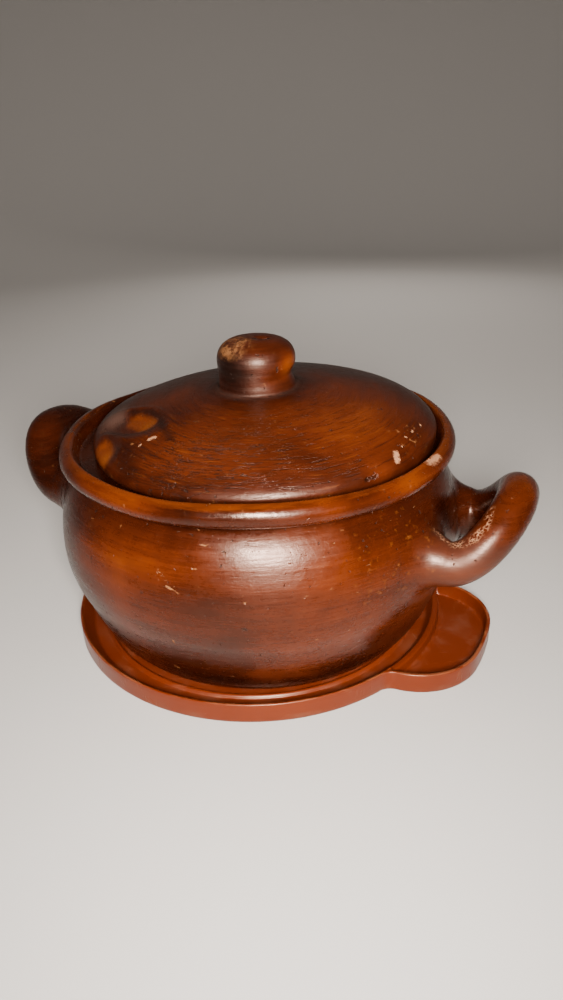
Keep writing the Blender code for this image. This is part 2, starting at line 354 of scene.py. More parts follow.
def wobble(points, seed, size):
    """A smooth field of small shifts that makes a turned shape look hand-made."""
    rng = np.random.default_rng(seed)
    out = np.zeros_like(points)
    for wavelength, amount in ((170.0, 0.55), (120.0, 0.45), (80.0, 0.28), (55.0, 0.16), (34.0, 0.07)):
        for _ in range(3):
            heading = rng.normal(size=3)
            heading /= np.linalg.norm(heading)
            push = rng.normal(size=3)
            push /= np.linalg.norm(push)
            phase = rng.uniform(0, math.tau)
            wave = np.sin(points @ heading * (math.tau / wavelength) + phase)
            out += amount * size * 0.6 * wave[:, None] * push
    return out


def warp(points, normals, field):
    """Move points by a field, and turn their normals with it."""
    step = 0.5
    moved = points + field(points)
    jacobian = np.zeros((len(points), 3, 3))
    for axis in range(3):
        shift = np.zeros(3)
        shift[axis] = step
        jacobian[:, :, axis] = (field(points + shift) - field(points - shift)) / (2 * step)
    turned = normals - np.einsum("nij,ni->nj", jacobian, normals)
    turned /= np.linalg.norm(turned, axis=1)[:, None]
    return moved, turned


def gradient(function, points):
    """Unit gradient of a distance-like function, evened out over about 2 mm."""
    step = 1.0
    out = np.zeros_like(points)
    for axis in range(3):
        shift = np.zeros(3)
        shift[axis] = step
        out[:, axis] = function(points + shift) - function(points - shift)
    return out / (np.linalg.norm(out, axis=1)[:, None] + 1e-12)


def settle(points, normals, picked, whole, own, other, reach, blend):
    """Draw picked points out onto a blended surface and tuck them under past the seam.

    whole, own and other are distances to the blend, to this piece's own surface and to the other
    piece's. blend is (far, near): the normals follow the blend fully where the other piece is
    nearer than near, and not at all past far.
    """
    start, heading = points[picked], normals[picked]
    travel = np.zeros(len(start))
    for _ in range(SETTLE_STEPS):
        here = whole(start + heading * travel[:, None])
        ahead = whole(start + heading * (travel[:, None] + 0.1))
        slope = np.maximum((ahead - here) / 0.1, 0.25)
        travel = np.clip(travel - here / slope, 0.0, reach)
    moved = start + heading * travel[:, None]
    tuck = np.clip((own(moved) - other(moved)) * 2.0, 0.0, TUCK_DEPTH)
    shading = gradient(whole, moved)
    moved = moved - shading * tuck[:, None]
    share = smoothstep(blend[0], blend[1], other(moved))[:, None]
    mixed = heading * (1 - share) + shading * share
    points[picked] = moved
    normals[picked] = mixed / np.linalg.norm(mixed, axis=1)[:, None]


# ---- pot
OUTER_PATH = joined(
    straight((0.0, FOOT_Z), (96.0, FOOT_Z), 12),
    smooth_path(BELLY, 1.5),
    smooth_path([BELLY[-1], NECK, (112.6, 123.9), (115.2, 123.7)], 0.7),
)
OUTSIDE_PATH = joined(OUTER_PATH, np.vstack([OUTER_PATH[-1:], lip_arc(28)[2:]]))


def handle_path(spec, run_in, count):
    """A handle's centreline in mm, with the tube's radius at each point."""
    outward = np.array([math.cos(spec["azimuth"]), math.sin(spec["azimuth"]), 0.0])
    sideways = np.array([-math.sin(spec["azimuth"]), math.cos(spec["azimuth"]), 0.0])
    upward = np.array([0.0, 0.0, 1.0])
    across = sideways * math.cos(spec["twist"]) + upward * math.sin(spec["twist"])
    along = outward * math.cos(HANDLE_SLOPE) + upward * math.sin(HANDLE_SLOPE)
    root = outward * spec["root_r"] + upward * spec["root_z"]
    turn = np.linspace(0.0, math.pi, 1201)
    wide = -np.sign(np.cos(turn)) * np.abs(np.cos(turn)) ** HANDLE_FULLNESS
    out = np.clip(np.sin(turn), 0.0, None) ** HANDLE_FULLNESS
    line = root + np.outer(wide * HANDLE_HALF_WIDTH, across) + np.outer(out * HANDLE_REACH, along)
    line = line + np.outer(HANDLE_DIP * (out * out - out), upward)
    size = spec["tube"] * (1.0 + ROOT_FLARE * (1.0 - out) ** 3)
    head = line[0] - (line[8] - line[0]) / np.linalg.norm(line[8] - line[0]) * run_in
    tail = line[-1] - (line[-9] - line[-1]) / np.linalg.norm(line[-9] - line[-1]) * run_in
    line = np.vstack([head, line, tail])
    size = np.r_[size[0], size, size[-1]]
    for _ in range(3):
        line[1:-1] = (line[:-2] + 2 * line[1:-1] + line[2:]) / 4
    length = np.r_[0.0, np.cumsum(np.linalg.norm(np.diff(line, axis=0), axis=1))]
    even = np.linspace(0.0, length[-1], count)
    path = np.stack([np.interp(even, length, line[:, axis]) for axis in range(3)], 1)
    return path, np.interp(even, length, size)


HANDLE_PATHS = {name: handle_path(spec, 12.0, 141) for name, spec in HANDLES.items()}
# clay pressed in under one root of each handle: how far down, share of the thickness
UNDER_ROOT = {"right_handle": (9.0, 0.82, 1.0), "left_handle": (4.0, 0.85, 0.0)}


def under_root(name):
    """A second, lower roll that deepens a handle towards one root."""
    path, size = HANDLE_PATHS[name]
    drop, share, end = UNDER_ROOT[name]
    along = np.linspace(0.0, 1.0, len(path))
    near = smoothstep(0.50, 0.78, along if end > 0.5 else 1.0 - along)
    lower = path.copy()
    lower[:, 2] -= drop * near
    return lower, size * (0.25 + (share - 0.25) * near)


def bowl_distance(points):
    """Signed distance to the bowl's outer side."""
    return section_distance(np.hypot(points[:, 0], points[:, 1]), points[:, 2], OUTSIDE_PATH)


def handle_distance(name):
    """Signed distance to one handle's roll."""
    path, size = HANDLE_PATHS[name]
    low_path, low_size = under_root(name)

    def measure(points):
        gap, where = distance_to_path(points, path)
        main = gap - np.interp(where, np.arange(len(size)), size)
        gap, where = distance_to_path(points, low_path)
        lower = gap - np.interp(where, np.arange(len(low_size)), low_size)
        return smooth_min(main, lower, 8.0)
    return measure


def pot_shift(points):
    """Hand-made unevenness of the pot, none where the lid and the tray meet it."""
    radius = np.hypot(points[:, 0], points[:, 1])
    height = points[:, 2]
    free = smoothstep(6.0, 30.0, height)
    seat = smoothstep(116.0, 111.0, radius) * smoothstep(112.0, 119.0, height)
    shift = wobble(points, 11, 1.0) * (free * (1.0 - seat))[:, None]
    bearing = np.arctan2(points[:, 1], points[:, 0])
    rim = smoothstep(112.0, 132.0, height) * smoothstep(113.0, 118.0, radius)
    dip = np.exp(-((bearing - LIP_DIP_AT) / LIP_DIP_SPAN) ** 2)
    inward = BELLY_INWARD * smoothstep(95.0, 128.0, radius) * free * (1.0 - rim)
    shift[:, 0] -= inward * np.cos(bearing)
    shift[:, 1] -= inward * np.sin(bearing)
    shift[:, 2] -= LIP_DIP * dip * rim + 0.5 * rim
    shift[:, 2] += 0.5 * rim * np.sin(bearing * 3.0 + 0.6) + 0.25 * rim * np.sin(bearing * 7.0)
    return shift


def turned_grid(path, turns, centre=(0.0, 0.0)):
    """Rings of points from a (radius, height) path."""
    angle = np.linspace(0.0, math.tau, turns, endpoint=False)
    grid = np.empty((len(path), turns, 3))
    grid[:, :, 0] = centre[0] + path[:, :1] * np.cos(angle)
    grid[:, :, 1] = centre[1] + path[:, :1] * np.sin(angle)
    grid[:, :, 2] = path[:, 1:2]
    return grid


def finish_mesh(mesh, points, normals):
    """Give a mesh its final points and shading normals."""
    mesh.vertices.foreach_set("co", (points * MM).ravel())
    mesh.update()
    mesh.normals_split_custom_set_from_vertices(normals.tolist())
    mesh.update()


def make_bowl():
    """The bowl, with the belly drawn out into the roots of the handles."""
    lip = lip_arc(28)
    path = joined(
        straight((6.0, FOOT_Z), (96.0, FOOT_Z), 10),
        smooth_path(BELLY, 1.25),
        smooth_path([BELLY[-1], NECK, (112.6, 123.9), (115.2, 123.7), tuple(lip[2])], 0.6),
        lip[2:],
        smooth_path([tuple(lip[-1])] + GALLERY, 0.8),
        straight(LEDGE[0], LEDGE[1], 9),
        smooth_path(BOWL_INSIDE[:-1], 2.0),
        straight(BOWL_INSIDE[-2], (6.0, 11.0), 6),
    )
    outer_rings = 10 + len(smooth_path(BELLY, 1.25)) - 1
    mesh = solid_of_rings("pot_bowl_clay", turned_grid(path, 448), (0, 0, FOOT_Z), (0, 0, 11.0))
    flip_if_inward(mesh)
    points, normals = vertex_points(mesh), vertex_normals(mesh)
    outside = np.arange(len(points)) < outer_rings * 448
    for name in HANDLES:
        roll = handle_distance(name)
        path_points = HANDLE_PATHS[name][0]
        low = path_points.min(0) - 34.0
        high = path_points.max(0) + 34.0
        near = outside & np.all((points > low) & (points < high), axis=1)
        picked = np.where(near)[0]
        gap = roll(points[picked])
        picked = picked[gap < ROOT_BLEND + 1.0]

        def whole(p, roll=roll):
            return smooth_min(bowl_distance(p), roll(p), ROOT_BLEND)
        settle(points, normals, picked, whole, bowl_distance, roll, 7.0, ROOT_FADE)
    points, normals = warp(points, normals, pot_shift)
    finish_mesh(mesh, points, normals)
    return place("pot_bowl_clay", mesh, "pot", ["pot_bowl"], "pot_clay")


def tube_grid(path, size, turns):
    """Rings round a path, without twist."""
    ahead = np.gradient(path, axis=0)
    ahead /= np.linalg.norm(ahead, axis=1)[:, None]
    side = np.cross(ahead[0], (0.0, 0.0, 1.0))
    side /= np.linalg.norm(side)
    grid = np.empty((len(path), turns, 3))
    angle = np.linspace(0.0, math.tau, turns, endpoint=False)
    for index in range(len(path)):
        side = side - ahead[index] * (side @ ahead[index])
        side /= np.linalg.norm(side)
        over = np.cross(ahead[index], side)
        ring = np.outer(np.cos(angle), side) + np.outer(np.sin(angle), over)
        grid[index] = path[index] + ring * size[index]
    return grid


def make_handle(name):
    """One loop handle, flowing into the belly at both roots."""
    path, size = HANDLE_PATHS[name]
    grid = tube_grid(path, size, 72)
    mesh = solid_of_rings(name + "_clay", grid, tuple(path[0]), tuple(path[-1]))
    flip_if_inward(mesh)
    points, normals = vertex_points(mesh), vertex_normals(mesh)
    roll = handle_distance(name)

    def whole(p):
        return smooth_min(bowl_distance(p), roll(p), ROOT_BLEND)
    depth = bowl_distance(points)
    picked = np.where(depth > -4.0)[0]
    settle(points, normals, picked, whole, roll, bowl_distance, 12.0, FOLLOW_ALL)
    points, normals = warp(points, normals, pot_shift)
    finish_mesh(mesh, points, normals)
    return place(name + "_clay", mesh, "pot", [name], name + "_clay")


# ---- lid
DIMPLES = [
    # x, y, half length, half width, bearing of the length, depth
    (-77.0, -21.0, 28.0, 14.0, math.radians(-46.0), 3.2),
    (-94.0, -41.0, 17.0, 12.0, math.radians(-66.0), 2.8),
]


def dimple_depth(x, y):
    """How far finger marks sink the lid's outer skin."""
    out = np.zeros_like(x)
    for at_x, at_y, long, wide, bearing, depth in DIMPLES:
        u = ((x - at_x) * math.cos(bearing) + (y - at_y) * math.sin(bearing)) / long
        v = (-(x - at_x) * math.sin(bearing) + (y - at_y) * math.cos(bearing)) / wide
        away = np.sqrt(u * u + v * v)
        out -= depth * (1.0 - smoothstep(0.45, 1.0, away))
        out += 0.55 * np.exp(-((away - 1.15) / 0.14) ** 2)
    return out


def dome_height(radius):
    """Height of the lid's outer skin at a radius, before it leans."""
    share = np.minimum(radius / LID_RADIUS, 1.0)
    return LID_EDGE_Z + LID_RISE * np.clip(1.0 - share ** LID_POWER, 0.0, 1.0) ** (1.0 / LID_ROOT)


def dome_distance(points):
    """Signed distance to the lid's outer skin, near enough to it."""
    x, y = points[:, 0] - LID_X, points[:, 1] - LID_Y
    radius = np.hypot(x, y)
    rise = dome_height(radius + 0.5) - dome_height(np.maximum(radius - 0.5, 0.0))
    height = dome_height(radius) + LID_LEAN_X * x + LID_LEAN_Y * y
    return (points[:, 2] - height) / np.sqrt(1.0 + rise * rise)


KNOB_PATH = smooth_path(KNOB, 0.7)


def knob_distance(points):
    """Signed distance to the knob."""
    radius = np.hypot(points[:, 0] - KNOB_X, points[:, 1] - KNOB_Y)
    return section_distance(radius, points[:, 2], KNOB_PATH[::2])


def lid_whole(points):
    """Signed distance to the lid's skin with the knob drawn out of it."""
    return smooth_min(dome_distance(points), knob_distance(points), KNOB_BLEND)


def lid_lean(points):
    """Lean of the lid's crown, none at its resting ring."""
    share = np.clip((points[:, 2] - LID_UNDER_Z) / (LID_EDGE_Z - LID_UNDER_Z), 0.0, 1.0)
    return share * (LID_LEAN_X * (points[:, 0] - LID_X) + LID_LEAN_Y * (points[:, 1] - LID_Y))


def lid_shift(points):
    """Hand-made unevenness of the lid, none at its resting ring."""
    free = smoothstep(127.0, 138.0, points[:, 2])
    return wobble(points, 23, 0.8) * free[:, None]


def make_lid():
    """The domed lid with its finger marks."""
    share = np.linspace(0.03, 1.0, 120) ** 0.8
    radius = LID_RADIUS * np.sin(share * math.pi / 2)
    top = np.c_[radius, dome_height(radius)]
    path = joined(
        top,
        smooth_path(LID_FLANGE, 0.8),
        straight(LID_FLANGE[-1], LID_INSIDE[0], 6),
        smooth_path(LID_INSIDE[:-1], 2.5),
        straight(LID_INSIDE[-2], (6.0, 154.5), 6),
    )
    grid = turned_grid(path, 400, (LID_X, LID_Y))
    crown = (LID_X, LID_Y, dome_height(np.array([0.0]))[0])
    mesh = solid_of_rings("lid_dome_clay", grid, crown, (LID_X, LID_Y, 154.6))
    points = vertex_points(mesh)
    points[:, 2] += lid_lean(points)
    outer = np.zeros(len(points), bool)
    outer[: len(top) * 400] = True
    outer[-2] = True
    centre_gap = np.hypot(points[:, 0] - LID_X, points[:, 1] - LID_Y)
    edge_fade = smoothstep(LID_RADIUS + 0.5, LID_RADIUS - 8.0, centre_gap)
    points[outer, 2] += (dimple_depth(points[:, 0], points[:, 1]) * (0.35 + 0.65 * edge_fade))[outer]
    mesh.vertices.foreach_set("co", (points * MM).ravel())
    flip_if_inward(mesh)
    normals = vertex_normals(mesh)
    knob_gap = np.hypot(points[:, 0] - KNOB_X, points[:, 1] - KNOB_Y)
    picked = np.where(outer & (knob_gap < 40.0))[0]
    settle(points, normals, picked, lid_whole, dome_distance, knob_distance, 6.0, KNOB_FADE)
    points, normals = warp(points, normals, lid_shift)
    finish_mesh(mesh, points, normals)
    return place("lid_dome_clay", mesh, "lid", ["lid_dome"], "lid_clay")


def knob_shift(points):
    """Unevenness of the knob: a deeper waist at its right, a nick in its top."""
    shift = lid_shift(points)
    x, y, z = points[:, 0] - KNOB_X, points[:, 1] - KNOB_Y, points[:, 2]
    bearing = np.arctan2(y, x)
    waist = np.exp(-((z - 170.5) / 4.0) ** 2) * smoothstep(12.0, 22.0, np.hypot(x, y))
    right = np.clip(np.cos(bearing + 0.35), 0.0, 1.0) ** 2
    pull = waist * (2.8 * right - 1.2)
    shift[:, 0] -= pull * np.cos(bearing)
    shift[:, 1] -= pull * np.sin(bearing)
    nick = np.exp(-((x - 4.0) / 4.2) ** 2 - ((y + 3.0) / 2.6) ** 2) * smoothstep(186.0, 190.0, z)
    shift[:, 2] -= 1.5 * nick
    return shift


def make_knob():
    """The bun-shaped knob, with a nick in its top."""
    path = KNOB_PATH[:-1]
    grid = turned_grid(path, 160, (KNOB_X, KNOB_Y))
    mesh = solid_of_rings("lid_knob_clay", grid, (KNOB_X, KNOB_Y, 156.0), (KNOB_X, KNOB_Y, 192.5))
    flip_if_inward(mesh)
    points, normals = vertex_points(mesh), vertex_normals(mesh)
    picked = np.where(dome_distance(points) < KNOB_BLEND + 1.0)[0]
    settle(points, normals, picked, lid_whole, knob_distance, dome_distance, 6.0, KNOB_FADE)
    points, normals = warp(points, normals, knob_shift)
    finish_mesh(mesh, points, normals)
    return place("lid_knob_clay", mesh, "lid", ["lid_knob"], "knob_clay")


# ---- tray
def outline_radius(angle, inset):
    """Distance from the tray's centre to its outline, or to one set in from it."""
    main, reach = TRAY_RADIUS - inset, LOBE_REACH - inset
    corner, fillet = LOBE_CORNER_R - inset, LOBE_FILLET + inset
    along, across = LOBE_CORNER_AT
    span = math.hypot(along, across)
    far, near = main + fillet, corner + fillet
    lead = math.atan2(across, along)
    turn = math.acos((far * far + span * span - near * near) / (2.0 * far * span))
    heading = lead + turn
    joint = np.array([far * math.cos(heading), far * math.sin(heading)])
    middle = np.array([along, across])
    meet = middle + (joint - middle) * corner / near
    switch = math.atan2(meet[1], meet[0])
    local = np.abs((angle - LOBE_AXIS + math.pi) % math.tau - math.pi)
    ray = np.c_[np.cos(local), np.sin(local)]
    dot = ray @ middle
    outer = dot + np.sqrt(np.clip(dot * dot - (span * span - corner * corner), 0.0, None))
    dot = ray @ joint
    inner = dot - np.sqrt(np.clip(dot * dot - (far * far - fillet * fillet), 0.0, None))
    out = np.full(len(angle), main)
    out = np.where(local < heading, inner, out)
    out = np.where(local < switch, outer, out)
    return np.where(local < lead, reach, out)


def make_tray():
    """The moulded tray as one skin over dish, bead, divider, spoon rest and wall."""
    turns = 800
    angle = np.linspace(0.0, math.tau, turns, endpoint=False)
    edge = outline_radius(angle, 0.0)
    wall = outline_radius(angle, LOBE_WALL)
    open_width = wall - DIVIDER_OUTER
    deep = smoothstep(0.4, 3.6, open_width)
    low = smoothstep(3.0, 9.0, open_width)
    top = TRAY_HEIGHT - (TRAY_HEIGHT - DIVIDER_Z) * low
    base = TRAY_HEIGHT + (TRAY_FLOOR - TRAY_HEIGHT) * deep
    one = np.ones(turns)
    rings = []

    def ring(radius, height):
        rings.append((np.minimum(radius * one, edge - 0.8), height * one))
    for radius in (8.0, 40.0, 75.0, 98.0, 104.2):
        ring(radius, TRAY_FLOOR)
    for radius, height in ((104.9, 3.0), (105.15, 3.7), (105.6, 4.4), (106.2, 4.85), (106.8, 5.0),
                           (107.4, 4.85), (108.0, 4.4), (108.4, 3.7), (108.7, 3.0)):
        ring(radius, height)
    for radius, height in ((109.4, 3.0), (112.0, 3.0), (114.8, 3.0), (115.6, 3.05), (116.3, 3.3),
                           (117.0, 3.8), (117.6, 4.5)):
        ring(radius, height)
    shoulder = top - 0.8
    slope_r = 117.6 + (shoulder - 4.5) * (123.2 - 117.6) / (12.1 - 4.5)
    for share in np.linspace(0.15, 1.0, 7):
        ring(117.6 + (slope_r - 117.6) * share, 4.5 + (shoulder - 4.5) * share)
    for turn in (0.35, 0.7, 1.0):
        bend = turn * math.pi / 2
        ring(slope_r + 0.8 * (1 - math.cos(bend)) + 0.25 * turn, shoulder + 0.8 * math.sin(bend))
    flat_end = DIVIDER_OUTER - 0.6
    for share in (0.5, 1.0):
        ring(slope_r + 1.05 + (flat_end - slope_r - 1.05) * share, top)
    drop = top - base
    for out_by, share in ((0.25, 0.03), (0.5, 0.10), (0.62, 0.22), (0.8, 0.5), (0.95, 0.8),
                          (1.2, 0.94), (1.7, 1.0)):
        ring(flat_end + out_by, top - drop * share)
    foot_in = flat_end + 1.7
    foot_out = np.maximum(wall - 1.6 * deep, foot_in)
    for share in (0.12, 0.3, 0.5, 0.7, 0.88, 1.0):
        ring(foot_in + (foot_out - foot_in) * share, base)
    climb = TRAY_HEIGHT - base
    for out_by, share in ((0.5, 0.03), (0.9, 0.12), (1.1, 0.3), (1.3, 0.6), (1.5, 0.9),
                          (1.65, 0.97), (2.0, 1.0)):
        ring(np.maximum(foot_out + out_by * deep, foot_in), base + climb * share)
    outline = [(0.8, 12.9), (0.5, 12.85), (0.22, 12.68), (0.06, 12.4), (0.0, 12.0), (0.0, 9.0),
               (0.0, 6.0), (0.0, 3.0), (0.02, 1.3), (0.15, 0.6), (0.45, 0.15), (1.1, 0.0)]
    for inset, height in outline:
        rings.append((edge - inset, height * one))
    for share in (0.97, 0.7, 0.4, 0.1):
        rings.append((edge * share, 0.0 * one))
    grid = np.empty((len(rings), turns, 3))
    for index, (radius, height) in enumerate(rings):
        grid[index, :, 0] = TRAY_X + radius * np.cos(angle)
        grid[index, :, 1] = radius * np.sin(angle)
        grid[index, :, 2] = height
    mesh = solid_of_rings("tray_plastic", grid, (TRAY_X, 0, TRAY_FLOOR), (TRAY_X, 0, 0))
    flip_if_inward(mesh)
    return place("tray_moulding", mesh, "tray", ["tray"], "tray_plastic")


# ---- materials
class Graph:
    """Short calls for building a material's nodes."""

    def __init__(self, name):
        self.material = bpy.data.materials.new(name)
        self.material.use_nodes = True
        self.tree = self.material.node_tree
        self.shader = self.tree.nodes["Principled BSDF"]
        coordinate = self.tree.nodes.new("ShaderNodeTexCoord")
        self.place = coordinate.outputs["Object"]

    def put(self, socket, value):
        """Link a socket or set a plain value."""
        if hasattr(value, "is_linked"):
            self.tree.links.new(value, socket)
        else:
            socket.default_value = value

    def math(self, operation, a, b=0.0, c=0.0, clamp=False):
        """A Math node."""
        node = self.tree.nodes.new("ShaderNodeMath")
        node.operation = operation
        node.use_clamp = clamp
        for socket, value in zip(node.inputs, (a, b, c)):
            self.put(socket, value)
        return node.outputs[0]

    def times(self, a, b):
        """a times b."""
        return self.math("MULTIPLY", a, b)

    def plus(self, a, b):
        """a plus b."""
        return self.math("ADD", a, b)

    def minus(self, a, b):
        """a minus b."""
        return self.math("SUBTRACT", a, b)

    def fused(self, a, b, c):
        """a times b, plus c."""
        return self.math("MULTIPLY_ADD", a, b, c)

    def most(self, a, b):
        """The greater of a and b."""
        return self.math("MAXIMUM", a, b)

    def vector(self, operation, a, b=(0.0, 0.0, 0.0)):
        """A Vector Math node."""
        node = self.tree.nodes.new("ShaderNodeVectorMath")
        node.operation = operation
        self.put(node.inputs[0], a)
        self.put(node.inputs[1], b)
        return node.outputs["Value" if operation in ("LENGTH", "DOT_PRODUCT") else "Vector"]

    def stretch(self, where, scale):
        """Scale a position along each axis."""
        return self.vector("MULTIPLY", where, scale)

    def noise(self, where, scale, detail=3.0, rough=0.55, twist=0.0):
        """Noise from 0 to 1."""
        node = self.tree.nodes.new("ShaderNodeTexNoise")
        self.put(node.inputs["Vector"], where)
        node.inputs["Scale"].default_value = scale
        node.inputs["Detail"].default_value = detail
        node.inputs["Roughness"].default_value = rough
        node.inputs["Distortion"].default_value = twist
        return node.outputs["Fac"]

    def cells(self, where):
        """Distance to the edges of a cell pattern."""
        node = self.tree.nodes.new("ShaderNodeTexVoronoi")
        node.feature = "DISTANCE_TO_EDGE"
        self.put(node.inputs["Vector"], where)
        node.inputs["Scale"].default_value = 1.0
        return node.outputs["Distance"]

    def step(self, value, low, high, to_low=0.0, to_high=1.0):
        """A smooth step between two values."""
        node = self.tree.nodes.new("ShaderNodeMapRange")
        node.interpolation_type = "SMOOTHSTEP"
        self.put(node.inputs["Value"], value)
        for key, number in (("From Min", low), ("From Max", high),
                            ("To Min", to_low), ("To Max", to_high)):
            node.inputs[key].default_value = number
        return node.outputs["Result"]

    def mix(self, share, a, b):
        """Mix two colours."""
        node = self.tree.nodes.new("ShaderNodeMix")
        node.data_type = "RGBA"
        self.put(node.inputs["Factor"], share)
        for key, value in (("A", a), ("B", b)):
            socket = [s for s in node.inputs if s.name == key and s.type == "RGBA"][0]
            if isinstance(value, tuple):
                value = (*value, 1.0)
            self.put(socket, value)
        return [s for s in node.outputs if s.type == "RGBA"][0]

    def tint(self, colour, mask, share, other):
        """Bring a colour towards another by a share of a mask."""
        return self.mix(self.times(mask, share), colour, other)

    def union(self, masks):
        """The greatest of several masks."""
        return reduce(self.most, masks)

    def split(self, vector):
        """X, Y and Z of a vector."""
        node = self.tree.nodes.new("ShaderNodeSeparateXYZ")
        self.put(node.inputs[0], vector)
        return node.outputs

    def join(self, x, y, z):
        """A vector from three values."""
        node = self.tree.nodes.new("ShaderNodeCombineXYZ")
        for socket, value in zip(node.inputs, (x, y, z)):
            self.put(socket, value)
        return node.outputs[0]

    def ramp(self, value, stops):
        """A colour ramp."""
        node = self.tree.nodes.new("ShaderNodeValToRGB")
        self.put(node.inputs["Fac"], value)
        points = node.color_ramp.elements
        while len(points) < len(stops):
            points.new(0.5)
        for point, (position, colour) in zip(points, stops):
            point.position = position
            point.color = (*colour, 1.0)
        return node.outputs["Color"]

    def inside(self, away, soft, edge, rough):
        """1 where a scaled distance is under 1, fading over soft; a noise can roughen its edge."""
        if edge is not None:
            away = self.fused(self.minus(edge, 0.5), rough, away)
        return self.step(away, 1.0 - soft, 1.0 + soft * 0.2, 1.0, 0.0)

    def blob(self, where, centre, size, soft=0.6, edge=None, rough=0.0):
        """1 inside a soft ellipsoid given in mm, 0 outside."""
        shifted = self.vector("SUBTRACT", where, tuple(v * MM for v in centre))
        scaled = self.vector("DIVIDE", shifted, tuple(v * MM for v in size))
        return self.inside(self.vector("LENGTH", scaled), soft, edge, rough)

    def stroke(self, where, start, end, radius, soft=0.6, edge=None, rough=0.0):
        """1 within radius of a line given in mm, 0 outside."""
        start, end = np.array(start) * MM, np.array(end) * MM
        span = end - start
        shifted = self.vector("SUBTRACT", where, tuple(start))
        share = self.math("DIVIDE", self.vector("DOT_PRODUCT", shifted, tuple(span)),
                          float(span @ span), clamp=True)
        nearest = self.vector("MULTIPLY", tuple(span), share)
        away = self.vector("LENGTH", self.vector("SUBTRACT", shifted, nearest))
        return self.inside(self.math("DIVIDE", away, radius * MM), soft, edge, rough)

    def chain(self, where, points, radius, soft=0.6, edge=None, rough=0.0):
        """A stroke through several points."""
        return self.union([self.stroke(where, start, end, radius, soft, edge, rough)
                           for start, end in zip(points[:-1], points[1:])])

    def bump(self, height, distance):
        """A Bump node."""
        node = self.tree.nodes.new("ShaderNodeBump")
        node.inputs["Distance"].default_value = distance
        self.put(node.inputs["Height"], height)
        return node.outputs["Normal"]


NEAR_BLACK = (0.0036, 0.0009, 0.0005)
DARK = (0.0100, 0.0015, 0.0004)
BROWN = (0.0240, 0.0033, 0.0004)
WARM = (0.0500, 0.0072, 0.0006)
ORANGE = (0.1050, 0.0195, 0.0011)
AMBER = (0.1300, 0.0340, 0.0022)
TAN = (0.20, 0.080, 0.026)
PALE = (0.32, 0.150, 0.075)
GREY_BROWN = (0.056, 0.029, 0.021)

# Each patch: centre in mm, half sizes in mm, how much it shifts the tone (+ lighter, - darker). Most are
# the clay's own tone; the few marked below are painted shade.
POT_PATCHES = [
    ((-84, -92, 96), (46, 46, 24), 0.17), ((-46, -116, 102), (40, 34, 18), 0.09),
    ((-104, -70, 50), (36, 40, 28), -0.12), ((58, -108, 98), (44, 36, 24), 0.13),
    ((96, -78, 66), (24, 30, 26), 0.07), ((0, -118, 8), (150, 70, 22), -0.26),
    # the second patch on this line and the first on the next are painted shade inside the right handle's
    # loop
    ((70, -96, 30), (50, 50, 22), -0.14), ((106, -66, 92), (22, 22, 20), -0.20),
    ((100, -30, 104), (30, 34, 22), -0.16), ((-112, 30, 96), (40, 40, 34), -0.12),
    ((6, -126, 54), (34, 24, 12), 0.05), ((-82, -92, 133), (46, 36, 10), 0.30),
    ((-110, -40, 134), (20, 44, 10), 0.10), ((84, -90, 133), (36, 34, 10), 0.26),
    ((-14, -122, 132), (36, 18, 12), -0.04), ((40, -118, 132), (26, 18, 12), 0.14),
    ((0, 120, 60), (90, 50, 50), -0.06), ((60, 110, 90), (50, 40, 30), 0.10),
    ((-90, 90, 40), (40, 40, 24), -0.12), ((150, -68, 116), (22, 24, 16), 0.20),
    ((120, -100, 92), (16, 16, 12), -0.06), ((-140, 64, 118), (24, 24, 20), -0.12),
]
LID_PATCHES = [
    ((0, -62, 150), (90, 44, 30), 0.17), ((60, -40, 148), (50, 50, 30), 0.13),
    # the second patch here is painted shade round the knob's foot, and the first on the next line is
    # painted shade over the back of the lid
    ((-44, -64, 146), (34, 26, 20), 0.05), ((0, 4, 164), (46, 46, 14), -0.32),
    ((0, 66, 150), (110, 60, 30), -0.16), ((66, -86, 137), (16, 10, 8), 0.14),
    ((-96, 20, 142), (24, 40, 12), -0.14),
]
KNOB_PATCHES = [
    ((21, -12, 177), (11, 14, 10), 0.42), ((-16, -16, 174), (20, 18, 18), -0.34),
    # painted shade at the knob's foot
    ((0, 0, 162), (40, 40, 6), -0.10),
]


